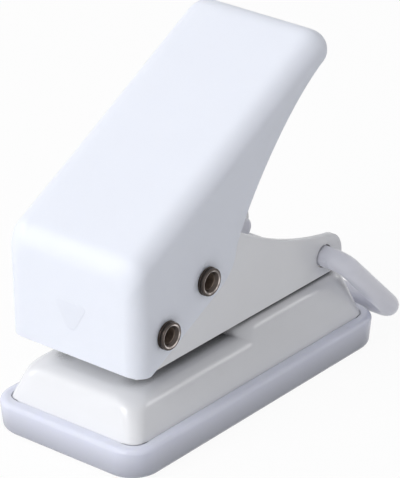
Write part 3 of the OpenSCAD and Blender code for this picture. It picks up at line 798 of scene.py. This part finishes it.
class PUNCH_OT_pins(Operator):
    """Tubular pins with rolled ends, and their grooved collars"""
    bl_idname = "punch.pins"
    bl_label = "Pins and collars"

    # Places of the groove's corners, as shares of a collar's thickness
    GROOVE = (0.32, 0.4, 0.5, 0.58)

    def execute(self, context):
        s, seat = context.scene.punch_pins, context.scene.punch_handle.width / 2
        bore_r, tube_r, rim_r, mouth_r = s.bore / 2, s.diameter / 2, s.rim_d / 2, s.mouth_d / 2
        half = seat + s.collar_gap + s.collar_t
        end = half + s.rim_t
        flare_in, flare_r, mouth_in, lip, roll = mm(0.75), mm(0.4), mm(0.12), mm(0.25), s.rim_t * NEARLY_HALF
        side = rounded([(bore_r, 0, 0), (bore_r, end - flare_in, flare_r), (mouth_r, end - mouth_in, lip),
                        (mouth_r + lip, end, lip), (rim_r, end, roll), (rim_r, half, roll),
                        (tube_r, half, 0), (tube_r, 0, 0)], 5, False)
        outline = side + [(r, -t) for r, t in reversed(side)][1:-1]
        metals = [finish("nickel-plated steel", nickel_plate), finish("oiled tube bore", oiled_bore),
                  finish("turned steel", turned_steel)]
        nickel, bore, steel = range(3)
        # Painted highlight and shade: of the rolled end only a narrow band on the crest gets the bright
        # nickel, while the flare inside it and the outer flank get the dark turned steel
        bore_end, painted_highlight_in, painted_highlight_out, row = bore_r + mm(0.05), mouth_r + mm(0.1), rim_r - mm(0.2), []
        for (r, _), (ahead, _) in zip(outline, outline[1:] + outline[:1]):
            wide = max(r, ahead)
            row.append(bore if wide < bore_end else nickel if painted_highlight_in < wide < painted_highlight_out else steel)
        for name, heart, body in (("pivot", PIVOT, "base"), ("drive", DRIVE, "handle")):
            form = lathe(outline, heart, "X")
            marks = [row[i % len(outline)] for i in range(len(form[1]))]
            pin = mesh_of(form, metals, marks)
            piece(name + "_pin_tube", pin, body, [name + "_pin"], False)
            collars = mesh_of(pairs(self.collar, [(heart, s, seat)]), [metals[steel]])
            piece(name + "_collars", collars, body, [name + "_washers"])
        return {"FINISHED"}

    def collar(self, s, seat):
        """Outline of one collar with a turned groove, beside its seat on the handle."""
        r, t, hole_r = s.collar_d / 2, s.collar_t, s.diameter / 2
        edge_r, groove_r, depth = mm(0.06), mm(0.03), mm(0.09)
        begin, foot, foot_end, end = (t * share for share in self.GROOVE)
        corners = [(hole_r, 0, 0), (r, 0, edge_r), (r, begin, groove_r), (r - depth, foot, groove_r),
                   (r - depth, foot_end, groove_r), (r, end, groove_r), (r, t, edge_r), (hole_r, t, 0)]
        return [(out, seat + s.collar_gap + along) for out, along in rounded(corners, 3)]


class PUNCH_OT_handle(Operator):
    """Moulded lever handle: a smooth shell with bosses round the pins and a hole-position mark"""
    bl_idname = "punch.handle"
    bl_label = "Handle"

    # Control points of the lower edge, as shares of the lobe's reach and of the length behind the lobe
    LOBE_PULL, LOBE_LEAD = Vector((0.0755, 0.453)), 0.68
    REAR_PULL, TIP_PULL = Vector((0.027, 0.17)), Vector((0.454, 0.156))
    # As shares: height of the mark's middle, sizes of its rings and how far each stands proud
    MARK_MIDDLE = 0.66
    MARK_STEPS = ((1.0, -0.3), (1.0, 0.0), (0.97, 0.7), (0.93, 1.0), (0.5, 1.0))

    def execute(self, context):
        s, pin_r = context.scene.punch_handle, context.scene.punch_pins.diameter / 2
        self.s, self.tan, self.cos, self.sin = s, tan(s.slope), cos(s.slope), sin(s.slope)
        ahead = Vector((cos(s.edge_slope), sin(s.edge_slope)))
        self.lobe_end = Vector((DRIVE.y - PIVOT.y + s.lobe_back, DRIVE.z - PIVOT.z + s.lobe_rise))
        self.lobe_ctrl = self.lobe_end - s.lobe_back * self.LOBE_PULL
        self.lobe_start = self.lobe_ctrl - self.LOBE_LEAD * s.lobe_back * ahead
        span = s.reach - self.lobe_end.x
        tip = Vector((s.reach, self.top(s.reach, 0.0) - s.tip_edge))
        self.rear = [self.lobe_end, self.lobe_end + span * self.REAR_PULL, tip - span * self.TIP_PULL, tip]
        plastic = [finish("moulded ABS", moulded_abs)]
        bores = ((PIVOT, pin_r + s.play), (DRIVE, pin_r))
        drills = [drill(r, -s.width, s.width, centre, "X", 48) for centre, r in bores]
        shell = cut_with(mesh_of(self.shell(), plastic), drills)
        piece("handle_moulding", shell, "handle", ["handle_shell"])
        bosses = mesh_of(pairs(self.boss, bores, 72), plastic)
        piece("handle_bosses", bosses, "handle", [])
        mark = mesh_of(self.mark(), [finish("etched ABS", etched_abs)])
        piece("hole_mark", mark, "handle", [])
        return {"FINISHED"}

    def boss(self, r):
        """Outline of one inner boss, which runs on into the wall."""
        s = self.s
        out, skin, deep = s.boss_d / 2, s.width / 2 - s.wall, s.width / 2 - s.wall / 2
        bore_edge, face_edge, fillet, flare, sink = mm(0.15), mm(0.3), mm(0.4), mm(0.5), mm(0.05)
        return rounded([(r, s.boss_in, bore_edge), (out, s.boss_in, face_edge), (out, skin, fillet),
                        (out + flare, skin + sink, 0), (out, deep, 0), (r, deep, 0)], 4)

    def line(self, y, w):
        """Height of the sloping top before its ends are rounded."""
        return self.s.top - w / self.cos + y * self.tan

    def top(self, y, w):
        """Height of the top above the pivot at distance y, inset by w."""
        s = self.s
        brow, tip = s.brow_r - w, s.tip_r - w
        fore, aft = w + brow - s.front, s.reach - w - tip
        if y < fore - brow * self.sin:
            return self.line(fore, w) - brow / self.cos + arch(brow, y - fore)
        if y > aft - tip * self.sin:
            return self.line(aft, w) - tip / self.cos + arch(tip, y - aft)
        return self.line(y, w)

    def half(self, y, w):
        """Half width at distance y, inset by w."""
        s = self.s
        side = s.width / 2 - w
        for r, edge in ((s.front_r - w, y + s.front - w), (s.rear_r - w, s.reach - w - y)):
            if edge < r:
                return side - r + arch(r, r - edge)
        return side

    def edge(self, w):
        """Lower edge from front to rear as (distance, height), inset by w at the ends."""
        s, out = self.s, []
        least_run, knee_run, tip_gap = mm(0.3), mm(1.6), mm(0.2)
        for a in quarter(12):
            f = 1 - cos(a)
            out.append(Vector((-s.front + w + (s.front_r - w) * f, -s.drop - s.corner_drop * f * (2 - f))))
        begin = out[-1]
        meet = self.lobe_start.x + (begin.y - self.lobe_start.y) / tan(s.edge_slope)
        knee = Vector((max(meet, begin.x + least_run), begin.y))
        end = knee + (self.lobe_start - knee).normalized() * knee_run
        out += [bezier([begin, knee, end], i / 10) for i in range(1, 11)]
        out += [end.lerp(self.lobe_start, i / 12) for i in range(1, 13)]
        out += [bezier([self.lobe_start, self.lobe_ctrl, self.lobe_end], i / 16) for i in range(1, 17)]
        rear = [bezier(self.rear, i / 60) for i in range(1, 60)]
        out += [p for p in rear if p.x < s.reach - s.tip_r - tip_gap]
        for a in quarter(14):
            y = s.reach - w - (s.tip_r - w) * (1 - sin(a))
            at = last_true(lambda t: bezier(self.rear, t).x < y, 0.0, 1.0, 30)
            out.append(Vector((y, bezier(self.rear, at).y)))
        return out

    def section(self, y, low, w):
        """Half ring of the skin from the left lower edge over the top to the right one."""
        h, t = self.half(y, w), self.top(y, w)
        side_left, rise_left, least_r = mm(0.5), mm(0.1), mm(0.05)
        r = min(self.s.edge_r - w, h - side_left, max(t - low - rise_left, least_r))
        left = [(-h, low + (t - r - low) * i / 6) for i in range(6)]
        left += [(-h + r - r * cos(a), t - r + r * sin(a)) for a in quarter(12)]
        mid = [(-h + r + 2 * (h - r) * i / 8, t) for i in range(1, 8)]
        return left + mid + [(-x, z) for x, z in reversed(left)]

    def place(self, x, y, z):
        """Point about the pivot, with the lean of the front face."""
        s = self.s
        lean = s.lean * z * min(1.0, max(0.0, (s.lean_end - y) / s.lean_run))
        return Vector((x, PIVOT.y + y - lean, PIVOT.z + z))

    def shell(self):
        """Closed skin: outer face, rounded rim and inner face at every station."""
        s, e = self.s, self.s.rim_r
        rings, bend = [], quarter(4)
        for out, inn in zip(self.edge(0.0), self.edge(s.wall)):
            outer = self.section(out.x, out.y + e, 0.0)
            inner = self.section(inn.x, inn.y + e, s.wall)
            a, b = Vector((outer[-1][0], out.x)), Vector((inner[-1][0], inn.x))
            way = (b - a).normalized() * e
            rim = []
            for q in bend[1:]:
                p = a + way * (1 - cos(q))
                rim.append((p.x, p.y, out.y + e - e * sin(q)))
            for q in bend[-2:0:-1]:
                p = b - way * (1 - cos(q))
                rim.append((p.x, p.y, inn.y + e - e * sin(q)))
            ring = [self.place(x, out.x, z) for x, z in outer]
            ring += [self.place(*p) for p in rim]
            ring += [self.place(x, inn.x, z) for x, z in reversed(inner)]
            ring += [self.place(-x, y, z) for x, y, z in reversed(rim)]
            rings.append(ring)
            count, lip = len(outer), len(rim)
        points, faces = loft(rings, False)
        n = len(rings[0])
        for base in (0, (len(rings) - 1) * n):
            faces.append(tuple(base + i for i in range(count)))
            faces.append(tuple(base + count + lip + i for i in range(count)))
            right = [base + count - 1 + i for i in range(lip + 2)]
            left = [base] + [base + n - 1 - i for i in range(lip)] + [base + 2 * count + lip - 1]
            faces += [(right[i], right[i + 1], left[i + 1], left[i]) for i in range(lip + 1)]
        return points, faces

    def mark(self):
        """Down-pointing hole-position mark, moulded faintly proud of the front face."""
        s = self.s
        side, high, corner_r, tip_r = s.mark_w / 2, s.mark_z + s.mark_h, mm(0.7), mm(1.2)
        outline = rounded([(-side, high, corner_r), (0, s.mark_z, tip_r), (side, high, corner_r)], 6)
        mid = Vector((0, s.mark_z + s.mark_h * self.MARK_MIDDLE))
        rings = []
        for size, proud in self.MARK_STEPS:
            spots = [mid + (Vector(p) - mid) * size for p in outline]
            rings.append([self.place(p.x, -s.front - s.mark_t * proud, p.y - PIVOT.z) for p in spots])
        return loft(rings)


class PUNCH_OT_stage(Operator):
    """Pale floor, soft studio light and the camera"""
    bl_idname = "punch.stage"
    bl_label = "Stage"

    # Name, place and size in metres, power in watts
    LAMPS = (("key softbox", (-0.12, -0.87, 0.66), 0.6, 6.4),
             ("top softbox", (-0.2, -0.1, 1.2), 0.6, 1.9),
             ("right softbox", (0.72, -0.77, 0.32), 0.6, 0.4),
             ("left softbox", (-0.9, -0.45, 0.5), 0.6, 2.6),
             ("back softbox", (0.72, 0.75, 0.38), 0.26, 0.7),
             ("rim softbox", (0.2, 1.0, 0.35), 0.2, 0.5))
    # The point that the lamps look at
    LAMP_AIM = Vector((0, 0, 0.03))
    # Half the floor's side in metres, and its height, just under the tray's foot
    FLOOR_HALF, FLOOR_Z = 3.0, mm(-0.02)
    # Share of the floor's own light where it is looked at, and strength of the surround where it lights
    GLOW_SHARE, SURROUND = 0.94, 0.28
    # The camera's turn to the right and rise in degrees, then in millimetres its lens, aim and distance
    AZIMUTH, ELEVATION, LENS, AIM, DISTANCE = 39.07, 25.81, 245.41, (2.22, 0, 29.17), 569.16

    def execute(self, context):
        scene, h = context.scene, self.FLOOR_HALF
        scene.view_settings.view_transform = "Standard"
        floor = bpy.data.meshes.new("floor")
        corners = [(x, y, self.FLOOR_Z) for x, y in ((-h, -h), (h, -h), (h, h), (-h, h))]
        floor.from_pydata(corners, [], [(0, 1, 2, 3)])
        floor.materials.append(self.floor_paint())
        ground = put("floor", floor)
        scene.world = self.surround()
        for name, at, size, power in self.LAMPS:
            lamp = bpy.data.lights.new(name, "AREA")
            lamp.size, lamp.energy = size, power
            self.aim(put(name, lamp), Vector(at), self.LAMP_AIM - Vector(at))
        lens = bpy.data.cameras.new("camera")
        lens.lens, lens.clip_start, lens.clip_end = self.LENS, 0.05, 20
        a, e = radians(self.AZIMUTH), radians(self.ELEVATION)
        back = Vector((sin(a) * cos(e), -cos(a) * cos(e), sin(e)))
        scene.camera = put("camera", lens)
        self.aim(scene.camera, mm(Vector(self.AIM)) + back * mm(self.DISTANCE), -back)
        return {"FINISHED"}

    @staticmethod
    def aim(obj, at, way):
        """Sets an object at a place and turns it to look along a way."""
        obj.location = at
        obj.rotation_mode = "QUATERNION"
        obj.rotation_quaternion = way.to_track_quat("-Z", "Y")

    @staticmethod
    def seen(tree):
        """1 for rays that look at a thing: from the camera, off gloss and through clear material."""
        path = node(tree, "LightPath").outputs
        some = node(tree, "Math", [path["Is Camera Ray"], path["Is Glossy Ray"]], operation="MAXIMUM")
        return node(tree, "Math", [some, path["Is Transmission Ray"]], operation="MAXIMUM")

    def floor_paint(self):
        """Pale board: mostly glow where it is looked at, so that it is white and still holds the shadow."""
        made = bpy.data.materials.new("pale board")
        tree = blank(made)
        matt = node(tree, "BsdfDiffuse", {"Color": linear("#F4F4F4")})
        glow = node(tree, "Emission", {"Color": WHITE})
        share = node(tree, "Math", [self.seen(tree), self.GLOW_SHARE], operation="MULTIPLY")
        both = node(tree, "MixShader", [share, matt, glow])
        node(tree, "OutputMaterial", {"Surface": both})
        return made

    def surround(self):
        """Even white surround, brighter where it is looked at than where it lights."""
        world = bpy.data.worlds.new("surround")
        tree = blank(world)
        light = node(tree, "Background", {"Color": linear("#F6F6FA"), "Strength": self.SURROUND})
        shown = node(tree, "Background", {"Color": WHITE})
        both = node(tree, "MixShader", [self.seen(tree), light, shown])
        node(tree, "OutputWorld", {"Surface": both})
        return world


class PUNCH_PT_panel(Panel):
    """The punch's pieces, sizes and colours"""
    bl_idname = "PUNCH_PT_panel"
    bl_label = "Desk punch"
    bl_space_type = "VIEW_3D"
    bl_region_type = "UI"
    bl_category = "Punch"

    def draw(self, context):
        for kind in PIECES:
            self.layout.operator(kind.bl_idname)
        for name in GROUPS:
            group = getattr(context.scene, name)
            part = self.layout.box()
            part.label(text=name.replace("punch_", "").capitalize())
            for key in group.__annotations__:
                part.prop(group, key)


PIECES = (PUNCH_OT_tray, PUNCH_OT_base, PUNCH_OT_frame, PUNCH_OT_works, PUNCH_OT_spring, PUNCH_OT_pins,
          PUNCH_OT_handle, PUNCH_OT_loop, PUNCH_OT_stage)
GROUPS = {"punch_handle": HandleSizes, "punch_base": BaseSizes, "punch_tray": TraySizes,
          "punch_pins": PinSizes, "punch_loop": LoopSizes, "punch_spring": SpringSizes,
          "punch_finishes": PunchFinishes}


def register():
    """Registers the classes and gives the scene its groups of sizes and colours."""
    for kind in (*GROUPS.values(), *PIECES, PUNCH_PT_panel):
        bpy.utils.register_class(kind)
    for name, kind in GROUPS.items():
        setattr(Scene, name, PointerProperty(type=kind))


def unregister():
    """Takes away what register added."""
    for name in GROUPS:
        delattr(Scene, name)
    for kind in reversed((*GROUPS.values(), *PIECES, PUNCH_PT_panel)):
        bpy.utils.unregister_class(kind)


def main():
    """Makes every piece and the stage."""
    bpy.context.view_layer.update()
    register()
    bpy.ops.punch.tray()
    bpy.ops.punch.base()
    bpy.ops.punch.frame()
    bpy.ops.punch.works()
    bpy.ops.punch.spring()
    bpy.ops.punch.pins()
    bpy.ops.punch.handle()
    bpy.ops.punch.loop()
    bpy.ops.punch.stage()


if __name__ == "__main__":
    main()
